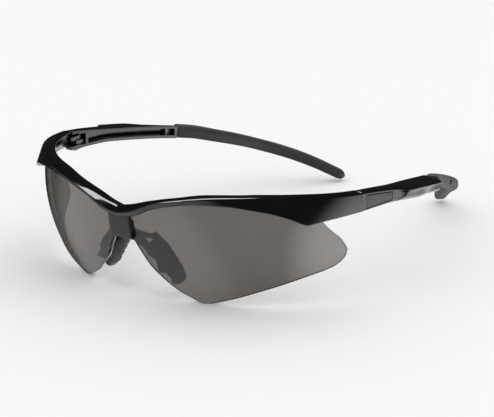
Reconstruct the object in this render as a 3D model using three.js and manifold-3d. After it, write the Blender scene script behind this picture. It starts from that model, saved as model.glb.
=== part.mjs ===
// Half-frame safety glasses: one wraparound lens under a moulded brow, a nose piece with two soft pads, and
// two folding temples with soft tips. Millimetres, +Z up, +X to the wearer's left, +Y back towards the ears. The
// glasses stand open on the two low points of the lens and on the ends of the temple tips, at Z = 0.
import * as THREE from 'three';
import { mergeVertices } from 'three/addons/utils/BufferGeometryUtils.js';
import Module from 'manifold-3d';

const wasm = await Module();
wasm.setup();

// ---- driving dimensions ----
const GAP = 0.3;                    // between two pieces that touch
const ORIGIN_SETBACK = 77.6;        // from the back of the bridge to the middle of the whole object, along Y
const END_SKIP = 0.5;               // how far a cutter runs past what it cuts
const BELOW_ARM = 25;               // a height below all of the arm, where cutters of its foot start

// The lens's shell: an oval plan that leans back at the bottom, seen in its own tilted frame. Angles run round
// from the nose, heights run along the tilted axis, and "out" is away from the face.
const LENS_TILT = 14.5;             // degrees
const PIVOT_HEIGHT = 20;            // of the point it leans about, above the ground
const FRONT_RADIUS = 56.8;          // of the plan, at the nose
const SHELL_CENTRE = FRONT_RADIUS - 2.9; // behind the bridge
const SIDE_SPREAD = 13.6;           // more radius at the sides
const CROWN_RADIUS = 120;           // of the upright section
const CROWN_HEIGHT = -5.4;          // height of the fullest point of the upright section
const SIDE_BULGE = 1.4;             // how much fuller the sides are at mid height
const BULGE_HEIGHT = -1;            // the middle of that bulge, and half its reach up and down
const BULGE_REACH = 15;

const LENS_FACE = 0.4;              // the lens's front face, out from the shell
const LENS_THICKNESS = 2.1;
const LENS_END = 76.9;              // angle of the lobe's end
const LENS_BITE = 0.8;              // how deep the lens sits in the brow's groove

const BROW_END = 88;                // angle past which the brow is cut off by the hinge's split plane
const CORNER = 65.1;                // angle of the brow's low pointed corner
const BACK_LIP_HEIGHT = 3.2;
const LIP_WALL = 0.6;               // the least wall beside the groove
const POST_HALF_WIDTH = 5.1;        // the bridge's post in front of the lens
const POST_THICKNESS = 1.2;
const POST_FOOT = 4.1;              // height of the post's lower end

// The hinge and the temple are drawn for a front of this half width and this centre, and move with its sides.
const DRAWN_HALF_WIDTH = 70.4;
const DRAWN_CENTRE = 53.9;
const SPLIT_Y = 43.4;               // where the brow ends and the temples begin
const HINGE_X = 68.4;
const HINGE_Y = 45.7;
const KNUCKLE_RADIUS = 1.7;
const KNUCKLE_FOOT = 33.6;          // the stack of three knuckles: brow, temple, brow
const KNUCKLE_HEIGHT = 1.55;
const COVER_FOOT = 39.2;            // the arm's top runs on over the knuckles above this
const PIN_RADIUS = 0.75;
const PIN_HEAD_RADIUS = 1.25;
const PIN_HEAD_HEIGHT = 0.5;

const ARM_END = 100;                // Y where the arm ends and its soft tip begins
const FLARE_START = 65.5;           // Y where the arm steps out behind its inlay
const FLARE_LENGTH = 2;
const POCKET_LENGTH = 3.2;          // the small square pocket behind the hinge
const POCKET_START = 48.1;
const CHANNEL_START = POCKET_START + POCKET_LENGTH + 1.3; // the long channel in the arm's inner face
const CHANNEL_DEPTH = 2.4;
const RIM = 1.4;                    // the wall left above and below the channel

const INLAY_START = 46.6;
const INLAY_LENGTH = 14.5;
const INLAY_HEIGHT = 4.8;
const INLAY_THICKNESS = 0.6;
const INLAY_FOOT = 33.9;

const TANG_RADIUS = 1.2;            // the arm's stem inside the soft tip
const TANG_LENGTH = 20;
const TIP_WIDTH = 5.2;              // the soft tip's section at the arm, and at its end
const TIP_HEIGHT = 6.2;
const TIP_END_WIDTH = 3.6;
const TIP_END_HEIGHT = 4.8;
const SOCKET_RADIUS = 1.15;         // the round socket for a neck cord's end, in the tip's outer face
const SOCKET_AT = 0.37;             // share of the tip's length
const SOCKET_FLOOR = 0.4;           // from the tip's middle line out to the socket's floor

const PAD_WIDTH = 8.4;
const PAD_THICKNESS = 1.6;
const PAD_START = 0.1;              // share of the pad's line where the soft part starts, below the arm's neck
const PAD_BEHIND = LENS_THICKNESS + 3.3; // from the bridge back to the middle of the pad's upper end
const PAD_NOSE_SIDE = 0.3;          // how far of that lies on the nose's side of the pad's line
const PAD_ARM_WIDTH = 3.6;          // the nose piece's arm behind each pad
const PAD_ARM_THICKNESS = 1.1;
const SADDLE_HALF_ANGLE = 3.8;      // the nose piece's plate behind the lens
const SADDLE_THICKNESS = 1.3;
const SADDLE_FOOT = 1.4;
const SADDLE_TOP = 10;
const WING_TOP = 4;                 // the nose piece's wings, behind the lens's nose edges
const WING_FOOT = -9.5;
const WING_THICKNESS = 0.9;

// ---- curves ----
const { degToRad } = THREE.MathUtils;
const SIN_TILT = Math.sin(degToRad(LENS_TILT));
const COS_TILT = Math.cos(degToRad(LENS_TILT));
const SIDE_GROWTH = FRONT_RADIUS + SIDE_SPREAD - DRAWN_HALF_WIDTH;
const SIDE_SETBACK = (SHELL_CENTRE - DRAWN_CENTRE) * COS_TILT;
const SIDE_RISE = (SHELL_CENTRE - DRAWN_CENTRE) * SIN_TILT;

// A smooth line through [at, value] pairs in rising order, which never overshoots between two of them.
function smoothLine(...pairs) {
  const slopes = pairs.slice(1).map(([at, value], i) => (value - pairs[i][1]) / (at - pairs[i][0]));
  const leans = pairs.map((_, i) => {
    const before = slopes[Math.max(i - 1, 0)];
    const after = slopes[Math.min(i, slopes.length - 1)];
    return before * after > 0 ? (2 * before * after) / (before + after) : 0;
  });
  return (at) => {
    const last = pairs.length - 2;
    const k = Math.min(last, Math.max(0, pairs.findLastIndex((pair) => pair[0] <= at)));
    const span = pairs[k + 1][0] - pairs[k][0];
    const t = Math.min(1, Math.max(0, (at - pairs[k][0]) / span));
    const u = 1 - t;
    return (
      u * u * (1 + 2 * t) * pairs[k][1] +
      t * t * (1 + 2 * u) * pairs[k + 1][1] +
      t * u * (u * leans[k] - t * leans[k + 1]) * span
    );
  };
}

// Heights and depths of the brow against the angle from the nose.
const browLow = smoothLine(
  [0, 12.4], [7.7, 13.8], [15, 16.9], [21.5, 18.6], [31, 19.7], [41, 18.9], [52.6, 15.5],
  [60, 11.3], [CORNER - 1, 7.6], [CORNER, 6.9], [CORNER + 1, 6.8], [69.5, 6.4], [75.1, 5.1], [80.4, 3.4],
  [BROW_END, 0.7]);
const browLowOut = smoothLine([0, 1.9], [34, 2.4], [50, 3.2], [CORNER, 4.0], [BROW_END, 1.1]);
const browRidge = smoothLine(
  [0, 14.2], [3, 14.6], [7, 15.9], [12.5, 18.5], [17, 20.4], [23, 21.5], [35, 22.4], [50.8, 20.6],
  [65.5, 16.7], [BROW_END, 7.6]);
const browCrest = smoothLine(
  [0, 16.6], [7.6, 18.3], [15, 20.3], [22.5, 21.8], [35, 22.8], [50.8, 20.9], [65.5, 17], [BROW_END, 7.9]);
const browRidgeOut = smoothLine([0, 3.0], [22.5, 3.9], [35, 4.0], [51, 2.8], [65.5, 2.1], [BROW_END, 2.4]);
const browBack = smoothLine(
  [0, 14.0], [5, 15.2], [12.5, 17.5], [26, 19.7], [35, 20.7], [51.5, 19], [61, 16.8], [73.6, 13.1],
  [BROW_END, 8.1]);
const browBackOut = smoothLine([0, -3.6], [12, -3.2], [67, -3.2], [80, -2.2], [BROW_END, -1.3]);
const grooveDepth = smoothLine(
  [0, LENS_BITE + GAP], [62, LENS_BITE + GAP], [CORNER, LENS_BITE + 2 * GAP], [68, LENS_BITE + GAP],
  [74, LENS_BITE + GAP], [78, GAP], [BROW_END, GAP]);

// How far round each wing of the nose piece starts and ends, against the height.
const wingStart = smoothLine([-11, 13.2], [-9, 12.6], [-4.5, 12.2], [-3, 9.5], [0, 7.6], [2.5, 3.4], [4, 3]);
const wingEnd = smoothLine([-11, 20], [-9, 19], [-6, 16.2], [-3, 15.2], [0, 13], [4, 9]);

// The lens's lower edge, and the free edge of its lobe above, against the angle from the nose.
const lensLow = smoothLine(
  [0, 4.3], [4, 3.9], [6.9, -0.4], [10.1, -6.1], [13.5, -10.1], [20.2, -16.4], [24.5, -19.2], [28.6, -21.7],
  [38, -19.9], [51.3, -16.8], [64.3, -15], [71, -14.8], [74, -14], [76.2, -12.2], [LENS_END, -10.5]);
const lobeTop = smoothLine(
  [0, 30], [69, 9.5], [70.8, 4.8], [72.3, 1.3], [73.5, -0.9], [74.9, -3.3], [76.2, -6.6], [LENS_END, -8.7]);

// Sides, top and bottom of the temple's arm against Y.
const ARM_RUN_OUT = ARM_END + 3;     // the arm's blank runs on this far before its end is cut square
const armInner = smoothLine([SPLIT_Y, 68], [52, 67.8], [60, 67.2], [78.5, 64.3], [ARM_RUN_OUT, 59.1]);
const armOuter = smoothLine([SPLIT_Y, 72], [52, 72.7], [FLARE_START, 73.2]);
const flareOuter = smoothLine(
  [FLARE_START + FLARE_LENGTH, 76.4], [78.5, 74.9], [89, 71.2], [ARM_RUN_OUT, 66]);
const armFoot = smoothLine(
  [SPLIT_Y, 71.9], [FLARE_START, 72.5], [78.5, 72.2], [89, 69.6], [ARM_RUN_OUT, 65.6]);
const armTop = smoothLine([SPLIT_Y, 40.8], [52, 39.7], [67.5, 37.2], [78.5, 35.6], [ARM_RUN_OUT, 31.4]);
const ridgeDrop = smoothLine(
  [SPLIT_Y, 0.2], [FLARE_START, 0.2], [FLARE_START + FLARE_LENGTH, 0.3], [80, 0.4], [88, 0.9],
  [ARM_RUN_OUT, 1.3]);
const armLow = smoothLine([SPLIT_Y, 33], [60, 32.5], [72, 31.1], [89, 28.5], [ARM_RUN_OUT, 25.8]);

// The line that the soft tip and the stem inside it follow: inwards and down behind the ear.
const tipLine = new THREE.CatmullRomCurve3([
  new THREE.Vector3(63, ARM_END - 0.2, 29.3),
  new THREE.Vector3(59.2, ARM_END + 6.5, 27.9),
  new THREE.Vector3(55.4, ARM_END + 14, 25.5),
  new THREE.Vector3(51.2, ARM_END + 25, 21.8),
  new THREE.Vector3(47.3, ARM_END + 36, 17.5),
  new THREE.Vector3(40.7, ARM_END + 45.3, 13.2),
  new THREE.Vector3(33, ARM_END + 52.8, 8.6),
  new THREE.Vector3(24, ARM_END + 61.8, 1.9),
]);

// The middle line of a nose pad, from the bridge down and outwards.
const padLine = new THREE.CatmullRomCurve3([
  new THREE.Vector3(5, PAD_BEHIND + 0, 22),
  new THREE.Vector3(8.2, PAD_BEHIND + 1.2, 18.3),
  new THREE.Vector3(10.9, PAD_BEHIND + 1.8, 14.6),
  new THREE.Vector3(13.4, PAD_BEHIND + 2.3, 11.1),
  new THREE.Vector3(15.3, PAD_BEHIND + 2.8, 8),
  new THREE.Vector3(16.4, PAD_BEHIND + 2.9, 5.6),
]);
const PAD_ACROSS = new THREE.Vector3(-0.1, 0.99, 0.05).normalize();

// ---- geometry helpers ----
// A point of the lens's shell, with an offset outwards.
function shell(angle, height, out) {
  const turn = degToRad(angle);
  const side = Math.sin(turn) ** 2;
  const bulge = SIDE_BULGE * (1 - ((height - BULGE_HEIGHT) / BULGE_REACH) ** 2);
  const crown = (height - CROWN_HEIGHT) ** 2 / (2 * CROWN_RADIUS);
  const radius = FRONT_RADIUS + side * (SIDE_SPREAD + bulge) - crown + out;
  const back = SHELL_CENTRE - radius * Math.cos(turn);
  return new THREE.Vector3(
    radius * Math.sin(turn),
    back * COS_TILT - height * SIN_TILT,
    PIVOT_HEIGHT + back * SIN_TILT + height * COS_TILT,
  );
}

// A closed mesh from corners and triangles, with its faces turned outwards.
function closedMesh(corners, triangles) {
  let volume = 0;
  for (const [a, b, c] of triangles) {
    volume += corners[a].dot(new THREE.Vector3().crossVectors(corners[b], corners[c]));
  }
  const outward = volume > 0 ? triangles : triangles.map(([a, b, c]) => [a, c, b]);
  const geometry = new THREE.BufferGeometry();
  geometry.setAttribute('position', new THREE.Float32BufferAttribute(corners.flatMap((p) => p.toArray()), 3));
  geometry.setIndex(outward.flat());
  return geometry;
}

// Triangles that close a ring of corners, which may be any flat outline.
function cap(ring) {
  const middle = ring.reduce((sum, p) => sum.add(p), new THREE.Vector3()).divideScalar(ring.length);
  const normal = new THREE.Vector3();
  ring.forEach((p, i) => {
    const next = ring[(i + 1) % ring.length];
    normal.add(new THREE.Vector3().crossVectors(p.clone().sub(middle), next.clone().sub(middle)));
  });
  const turn = new THREE.Quaternion().setFromUnitVectors(normal.normalize(), new THREE.Vector3(0, 0, 1));
  const flat = ring.map((p) => {
    const q = p.clone().sub(middle).applyQuaternion(turn);
    return new THREE.Vector2(q.x, q.y);
  });
  return THREE.ShapeUtils.triangulateShape(flat, []);
}

// A closed body through a row of rings, each with as many corners as the next.
function loft(rings) {
  const size = rings[0].length;
  const triangles = cap(rings[0]).map(([a, b, c]) => [c, b, a]);
  for (let row = 0; row + 1 < rings.length; row += 1) {
    for (let k = 0; k < size; k += 1) {
      const a = row * size + k;
      const b = row * size + ((k + 1) % size);
      triangles.push([a, b, b + size], [a, b + size, a + size]);
    }
  }
  const far = (rings.length - 1) * size;
  triangles.push(...cap(rings.at(-1)).map((corner) => corner.map((k) => k + far)));
  return closedMesh(rings.flat(), triangles);
}

function steps(from, to, count) {
  return Array.from({ length: count + 1 }, (_, i) => from + ((to - from) * i) / count);
}

// Rings of an oval section along a line: its width runs level, its height across that.
function ovalRings(line, from, to, count, corners, halfWidth, halfHeight) {
  return steps(from, to, count).map((t) => {
    const along = line.getTangentAt(t);
    const across = new THREE.Vector3().crossVectors(along, new THREE.Vector3(0, 0, 1)).normalize();
    const up = new THREE.Vector3().crossVectors(across, along);
    const middle = line.getPointAt(t);
    return steps(0, 2 * Math.PI, corners).slice(0, -1).map((turn) => middle.clone()
      .addScaledVector(across, halfWidth(t) * roundedCos(turn))
      .addScaledVector(up, halfHeight(t) * roundedCos(turn - Math.PI / 2)));
  });
}

// A cosine with fuller shoulders, so that an oval of it is nearly a rounded box.
function roundedCos(turn) {
  return Math.sign(Math.cos(turn)) * Math.abs(Math.cos(turn)) ** 0.75;
}

function box(x0, x1, y0, y1, z0, z1) {
  return new THREE.BoxGeometry(x1 - x0, y1 - y0, z1 - z0)
    .translate((x0 + x1) / 2, (y0 + y1) / 2, (z0 + z1) / 2);
}

// An upright cylinder about the hinge's axis.
function drum(radius, z0, z1) {
  return new THREE.CylinderGeometry(radius, radius, z1 - z0, 20)
    .rotateX(Math.PI / 2)
    .translate(HINGE_X, HINGE_Y, (z0 + z1) / 2);
}

function toSolid(geometry) {
  const bare = geometry.clone();
  bare.deleteAttribute('normal');
  bare.deleteAttribute('uv');
  const merged = mergeVertices(bare, 1e-4);
  return new wasm.Manifold(new wasm.Mesh({
    numProp: 3,
    vertProperties: new Float32Array(merged.attributes.position.array),
    triVerts: new Uint32Array(merged.index.array),
  }));
}

function toGeometry(solid) {
  const mesh = solid.getMesh();
  const geometry = new THREE.BufferGeometry();
  geometry.setAttribute('position', new THREE.BufferAttribute(mesh.vertProperties, 3));
  geometry.setIndex(new THREE.BufferAttribute(mesh.triVerts, 1));
  return geometry;
}

// The body with what is added joined on, then what is cut taken away.
function shape(body, { add = [], cut = [] }) {
  let solid = toSolid(body);
  for (const piece of add) solid = solid.add(toSolid(piece));
  for (const piece of cut) solid = solid.subtract(toSolid(piece));
  return toGeometry(solid);
}

// The same geometry on the wearer's right.
function mirrored(geometry) {
  const copy = geometry.clone().scale(-1, 1, 1);
  const index = Array.from(copy.index.array);
  for (let i = 0; i < index.length; i += 3) {
    [index[i], index[i + 1]] = [index[i + 1], index[i]];
  }
  copy.setIndex(index);
  return copy;
}

// A piece drawn about the hinge, moved to where the front's sides end.
function withFront(geometry) {
  return geometry.translate(SIDE_GROWTH, SIDE_SETBACK, SIDE_RISE);
}

// ---- hinge heights ----
const knuckleBase = (tier) => KNUCKLE_FOOT + tier * (KNUCKLE_HEIGHT + GAP);
const knuckleTop = (tier) => knuckleBase(tier) + KNUCKLE_HEIGHT;
const WELL_RADIUS = KNUCKLE_RADIUS + GAP;
const PIN_HOLE = PIN_RADIUS + GAP;

// ---- lens ----
function lensGeometry() {
  const rows = 6;
  const columns = steps(-1, 1, 52).map((share) => LENS_END * Math.sin((share * Math.PI) / 2));
  const rings = columns.map((angle) => {
    const low = lensLow(Math.abs(angle));
    const high = Math.min(browLow(Math.abs(angle)) + LENS_BITE, lobeTop(Math.abs(angle)));
    const front = steps(low, high, rows).map((height) => shell(angle, height, LENS_FACE));
    const back = steps(high, low, rows).map((height) => shell(angle, height, LENS_FACE - LENS_THICKNESS));
    return [...front, ...back];
  });
  const belowGround = box(-80, 80, -20, 60, -5, 0);
  return shape(loft(rings), { cut: [belowGround] });
}

// ---- brow ----
function browRing(angle) {
  const at = Math.abs(angle);
  const low = browLow(at);
  const backLow = Math.min(low, browBack(at) - BACK_LIP_HEIGHT);
  const roof = low + grooveDepth(at);
  const front = LENS_FACE + GAP;
  const back = Math.max(LENS_FACE - LENS_THICKNESS - GAP, browBackOut(at) + LIP_WALL);
  const corners = [
    [browLowOut(at), low],
    [browRidgeOut(at), browRidge(at)],
    [browRidgeOut(at) - 1.8, browCrest(at)],
    [(browRidgeOut(at) + browBackOut(at)) / 2 - 0.7, (browCrest(at) + browBack(at)) / 2 + 0.3],
    [browBackOut(at), browBack(at)],
    [browBackOut(at), backLow],
    [back, backLow],
    [back, roof],
    [front, roof],
    [front, low],
  ];
  return corners.map(([out, height]) => shell(angle, height, out));
}

function postGeometry() {
  const halfAngle = THREE.MathUtils.radToDeg(Math.asin(POST_HALF_WIDTH / FRONT_RADIUS));
  const inner = LENS_FACE + GAP;
  const outer = inner + POST_THICKNESS;
  const top = browLow(0) + LENS_BITE;
  const foot = POST_FOOT;
  const corners = [[inner, top], [outer, top], [outer, foot + 0.6], [outer - 0.5, foot], [inner, foot]];
  return loft(steps(-halfAngle, halfAngle, 6).map(
    (angle) => corners.map(([out, height]) => shell(angle, height, out))));
}

// A knuckle with the tongue that joins it to the endpiece, on the wearer's left.
function browKnuckle(tier) {
  const z0 = knuckleBase(tier);
  const z1 = knuckleTop(tier);
  return [
    drum(KNUCKLE_RADIUS, z0, z1),
    box(HINGE_X - KNUCKLE_RADIUS, HINGE_X + KNUCKLE_RADIUS, SPLIT_Y - 1.5, HINGE_Y, z0, z1),
  ];
}

function browGeometry() {
  const bar = loft(steps(-BROW_END, BROW_END, 60).map(browRing));
  const beyondSplit = box(-90, 90, SPLIT_Y, 70, 20, 60).translate(0, SIDE_SETBACK, 0);
  const trimmed = shape(bar, { cut: [beyondSplit] });
  const knuckles = [0, 2].flatMap(browKnuckle).map(withFront);
  const bore = withFront(drum(PIN_HOLE, KNUCKLE_FOOT - END_SKIP, knuckleTop(2) + END_SKIP));
  return shape(trimmed, {
    add: [postGeometry(), ...knuckles, ...knuckles.map((piece) => mirrored(piece))],
    cut: [bore, mirrored(bore)],
  });
}

// ---- nose piece ----
// Directions at a point of the pad's line: along it, across it, and away from the nose.
function padFrame(t) {
  const along = padLine.getTangentAt(t);
  const away = new THREE.Vector3().crossVectors(along, PAD_ACROSS).normalize();
  return { middle: padLine.getPointAt(t), across: PAD_ACROSS, away: away.x > 0 ? away : away.negate() };
}

// The section of a strip on the pad's line, between two distances away from the nose.
function stripRing(t, half, near, far) {
  const { middle, across, away } = padFrame(t);
  return [[-half, near], [half, near], [half, far], [-half, far]].map(([side, depth]) => middle.clone()
    .addScaledVector(across, side)
    .addScaledVector(away, depth));
}

function padStrip(from, to, count, halfWidth, near, far) {
  return loft(steps(from, to, count).map((t) => stripRing(t, halfWidth(t), near, far)));
}

function nosePadGeometry() {
  const share = (t) => (2 * (t - PAD_START)) / (1 - PAD_START) - 1;
  const rounded = (t) => (PAD_WIDTH / 2) * (0.45 + 0.55 * Math.sqrt(Math.max(0, 1 - share(t) ** 4)));
  return padStrip(PAD_START, 1, 14, rounded, -PAD_NOSE_SIDE, PAD_THICKNESS - PAD_NOSE_SIDE);
}

function noseBridgeGeometry() {
  const outer = LENS_FACE - LENS_THICKNESS - GAP;
  const inner = outer - SADDLE_THICKNESS;
  const plateRing = (angle) => [
    [outer, SADDLE_TOP], [inner, SADDLE_TOP], [inner, SADDLE_FOOT], [outer, SADDLE_FOOT],
  ].map(([out, height]) => shell(angle, height, out));
  const plate = loft(steps(-SADDLE_HALF_ANGLE, SADDLE_HALF_ANGLE, 6).map(plateRing));
  const half = PAD_ARM_WIDTH / 2;
  const near = PAD_THICKNESS - PAD_NOSE_SIDE + GAP;
  const arm = padStrip(0, 0.72, 8, () => half, near, near + PAD_ARM_THICKNESS);
  const buried = neckEnd(0.6 - half, near + 0.1, near + PAD_ARM_THICKNESS - 0.1);
  const neck = loft([neckRoot(inner + END_SKIP), buried]);
  const sides = [arm, neck, wingGeometry(outer - 0.1)];
  return shape(plate, { add: [...sides, ...sides.map((side) => mirrored(side))] });
}

// A wing of the nose piece, which lies behind the lens along its nose edge.
function wingGeometry(outer) {
  return loft(steps(WING_TOP, WING_FOOT, 10).map((height) => {
    const ends = [wingStart(height), (wingStart(height) + wingEnd(height)) / 2, wingEnd(height)];
    return [...ends.map((angle) => shell(angle, height, outer)),
      ...ends.reverse().map((angle) => shell(angle, height, outer - WING_THICKNESS))];
  }));
}

// The end of an arm's neck that is buried in the plate.
function neckRoot(out) {
  const angles = [SADDLE_HALF_ANGLE - 2.8, SADDLE_HALF_ANGLE - 0.4];
  const heights = [SADDLE_FOOT + 2.6, SADDLE_FOOT + 5.6];
  return [[angles[0], heights[0]], [angles[1], heights[0]], [angles[1], heights[1]], [angles[0], heights[1]]]
    .map(([angle, height]) => shell(angle, height, out));
}

// The neck's other end, buried in the front edge of the arm behind a pad.
function neckEnd(side, near, far) {
  const share = 0.05;
  const { middle, across, away } = padFrame(share);
  const along = padLine.getTangentAt(share);
  return [[-0.9, near], [0.9, near], [0.9, far], [-0.9, far]].map(([run, depth]) => middle.clone()
    .addScaledVector(across, side)
    .addScaledVector(along, run)
    .addScaledVector(away, depth));
}

// ---- temple, on the wearer's left ----
function armRing(y) {
  const foot = armFoot(y);
  const outer = y <= FLARE_START ? armOuter(y) : flareOuter(y);
  const top = armTop(y);
  const low = armLow(y);
  const ridge = top - ridgeDrop(y);
  return [
    [armInner(y), low], [foot - 0.8, low], [foot, low + 0.6], [outer, ridge - 0.5], [outer - 0.5, ridge],
    [armInner(y), top],
  ].map(([x, z]) => new THREE.Vector3(x, y, z));
}

function armBlank() {
  const front = steps(SPLIT_Y + GAP, FLARE_START, 5);
  const rear = steps(FLARE_START + FLARE_LENGTH, ARM_RUN_OUT, 9);
  return loft([...front, ...rear].map(armRing));
}

// A body that follows the arm's inner face, from just inside it to a depth, between two rims.
function innerPocket(from, to, count, depth, rim) {
  return loft(steps(from, to, count).map((y) => {
    const x0 = armInner(y) - END_SKIP;
    const x1 = armInner(y) + depth;
    const z0 = armLow(y) + rim;
    const z1 = armTop(y) - rim;
    return [[x0, z0], [x1, z0], [x1, z1], [x0, z1]].map(([x, z]) => new THREE.Vector3(x, y, z));
  }));
}

// The inlay or its seat: a plate that follows the arm's outer face.
function outerPlate(grow, depth, rise) {
  return loft(steps(INLAY_START - grow, INLAY_START + INLAY_LENGTH + grow, 4).map((y) => {
    const x1 = armOuter(y);
    const z0 = INLAY_FOOT - grow;
    const z1 = INLAY_FOOT + INLAY_HEIGHT + grow - (y - INLAY_START) * 0.06;
    return [[x1 - depth, z0], [x1 + rise, z0], [x1 + rise, z1], [x1 - depth, z1]]
      .map(([x, z]) => new THREE.Vector3(x, y, z));
  }));
}

// A block that takes away all of the arm past the start of the soft tip.
function pastArmEnd(setback) {
  const size = 12;
  const turn = new THREE.Quaternion().setFromUnitVectors(new THREE.Vector3(0, 0, 1), tipLine.getTangentAt(0));
  return new THREE.BoxGeometry(2 * size, 2 * size, size)
    .translate(0, 0, size / 2 - setback)
    .applyQuaternion(turn)
    .translate(...tipLine.getPointAt(0).toArray());
}

// A rod along the soft tip's line, which starts a root's length before it.
function stemRod(radius, length, root) {
  const share = length / tipLine.getLength();
  const half = () => radius;
  const rings = ovalRings(tipLine, 0, share, 7, 8, half, half);
  const back = tipLine.getTangentAt(0).multiplyScalar(-root);
  return loft([rings[0].map((p) => p.clone().add(back)), ...rings]);
}

function templeGeometry() {
  const inFront = box(50, HINGE_X + WELL_RADIUS, SPLIT_Y - 2, HINGE_Y, BELOW_ARM, COVER_FOOT);
  const lowerWell = drum(WELL_RADIUS, BELOW_ARM, knuckleBase(1) - GAP / 2);
  const upperWell = drum(WELL_RADIUS, knuckleTop(1) + GAP / 2, COVER_FOOT);
  const knuckle = drum(KNUCKLE_RADIUS, knuckleBase(1), knuckleTop(1));
  const bore = drum(PIN_HOLE, BELOW_ARM, COVER_FOOT);
  const pocket = innerPocket(POCKET_START, POCKET_START + POCKET_LENGTH, 1, CHANNEL_DEPTH, RIM + 0.8);
  const channel = innerPocket(CHANNEL_START, ARM_END - 3, 10, CHANNEL_DEPTH, RIM);
  const seat = outerPlate(GAP, INLAY_THICKNESS + GAP, END_SKIP);
  const stem = stemRod(TANG_RADIUS, TANG_LENGTH, 2);
  const hollows = [inFront, lowerWell, upperWell, pocket, channel, seat, pastArmEnd(GAP)];
  const body = shape(armBlank(), { cut: hollows });
  return shape(body, { add: [knuckle, stem], cut: [bore] });
}

function tipGeometry() {
  const halfWidth = (t) => (TIP_WIDTH + (TIP_END_WIDTH - TIP_WIDTH) * t) / 2;
  const halfHeight = (t) => (TIP_HEIGHT + (TIP_END_HEIGHT - TIP_HEIGHT) * t) / 2;
  const sleeve = loft(ovalRings(tipLine, 0, 1, 24, 12, halfWidth, halfHeight));
  const bore = stemRod(TANG_RADIUS + GAP, TANG_LENGTH + GAP, END_SKIP);
  const along = tipLine.getTangentAt(SOCKET_AT);
  const across = new THREE.Vector3().crossVectors(along, new THREE.Vector3(0, 0, 1)).normalize();
  const turn = new THREE.Quaternion().setFromUnitVectors(new THREE.Vector3(0, 1, 0), across);
  const socket = new THREE.CylinderGeometry(SOCKET_RADIUS, SOCKET_RADIUS, TIP_WIDTH, 16)
    .translate(0, SOCKET_FLOOR + TIP_WIDTH / 2, 0)
    .applyQuaternion(turn)
    .translate(...tipLine.getPointAt(SOCKET_AT).toArray());
  const belowGround = box(0, 80, ARM_END + 40, ARM_END + 80, -10, 0);
  return shape(sleeve, { cut: [bore, socket, belowGround] });
}

function inlayGeometry() {
  return outerPlate(0, INLAY_THICKNESS, 0);
}

function pinGeometry() {
  const headTop = KNUCKLE_FOOT - GAP;
  const shank = drum(PIN_RADIUS, headTop - PIN_HEAD_HEIGHT / 2, knuckleTop(2));
  const head = drum(PIN_HEAD_RADIUS, headTop - PIN_HEAD_HEIGHT, headTop);
  return shape(shank, { add: [head] });
}

// ---- materials ----
const glossBlack = new THREE.MeshStandardMaterial({ color: 0x0b0b0d, roughness: 0.15, metalness: 0 });
const softBlack = new THREE.MeshStandardMaterial({ color: 0x1a1a1b, roughness: 0.7, metalness: 0 });
const mattGrey = new THREE.MeshStandardMaterial({ color: 0x2a2a2b, roughness: 0.55, metalness: 0 });
const smokeLens = new THREE.MeshStandardMaterial({
  color: 0x4b4644, roughness: 0.05, metalness: 0, transparent: true, opacity: 0.7,
});
const steel = new THREE.MeshStandardMaterial({ color: 0xb4b6b8, roughness: 0.3, metalness: 1 });

// ---- assembly ----
function piece(name, geometry, material) {
  geometry.computeVertexNormals();
  const mesh = new THREE.Mesh(geometry, material);
  mesh.name = name;
  return mesh;
}

const glasses = new THREE.Group();
glasses.add(piece('brow_frame', browGeometry(), glossBlack));
glasses.add(piece('lens', lensGeometry(), smokeLens));
glasses.add(piece('nose_bridge', noseBridgeGeometry(), softBlack));

const pairs = [
  ['nose_pad', nosePadGeometry(), softBlack],
  ['hinge_screw', withFront(pinGeometry()), steel],
  ['temple', withFront(templeGeometry()), glossBlack],
  ['temple_inlay', withFront(inlayGeometry()), mattGrey],
  ['temple_tip', withFront(tipGeometry()), softBlack],
];
for (const [name, geometry, material] of pairs) {
  glasses.add(piece(`${name}_left`, geometry, material));
  glasses.add(piece(`${name}_right`, mirrored(geometry), material));
}
glasses.position.y = -ORIGIN_SETBACK;

export default glasses;
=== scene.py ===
"""Half-frame safety glasses: a smoke lens under a gloss black brow, soft ribbed nose pads, folding temples.

Shapes are worked out in millimetres, measured back from the bridge, and placed in metres in the part's frame.
+X is the wearer's left, +Y runs back to the ears, +Z is up.
"""

import math

import bmesh
import bpy
from bpy.props import FloatProperty, FloatVectorProperty, IntProperty, PointerProperty
from mathutils import Matrix, Vector


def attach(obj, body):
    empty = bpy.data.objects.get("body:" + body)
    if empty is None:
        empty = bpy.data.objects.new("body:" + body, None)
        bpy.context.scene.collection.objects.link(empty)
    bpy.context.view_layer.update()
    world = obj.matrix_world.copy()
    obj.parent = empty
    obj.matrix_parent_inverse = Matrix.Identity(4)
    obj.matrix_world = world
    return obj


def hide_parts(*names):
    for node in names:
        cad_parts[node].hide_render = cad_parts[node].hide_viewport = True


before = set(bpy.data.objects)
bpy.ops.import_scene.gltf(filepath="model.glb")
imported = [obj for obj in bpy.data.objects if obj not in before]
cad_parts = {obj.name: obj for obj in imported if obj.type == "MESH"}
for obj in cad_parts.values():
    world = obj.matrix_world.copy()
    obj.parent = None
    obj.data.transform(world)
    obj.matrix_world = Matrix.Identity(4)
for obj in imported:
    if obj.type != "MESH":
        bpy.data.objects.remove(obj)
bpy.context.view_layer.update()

bl_info = {
    "name": "Safety Glasses",
    "version": (1, 0, 0),
    "blender": (4, 5, 0),
    "location": "3D View > Sidebar > Glasses",
    "description": "Builds half-frame safety glasses piece by piece",
    "category": "Add Mesh",
}

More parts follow.
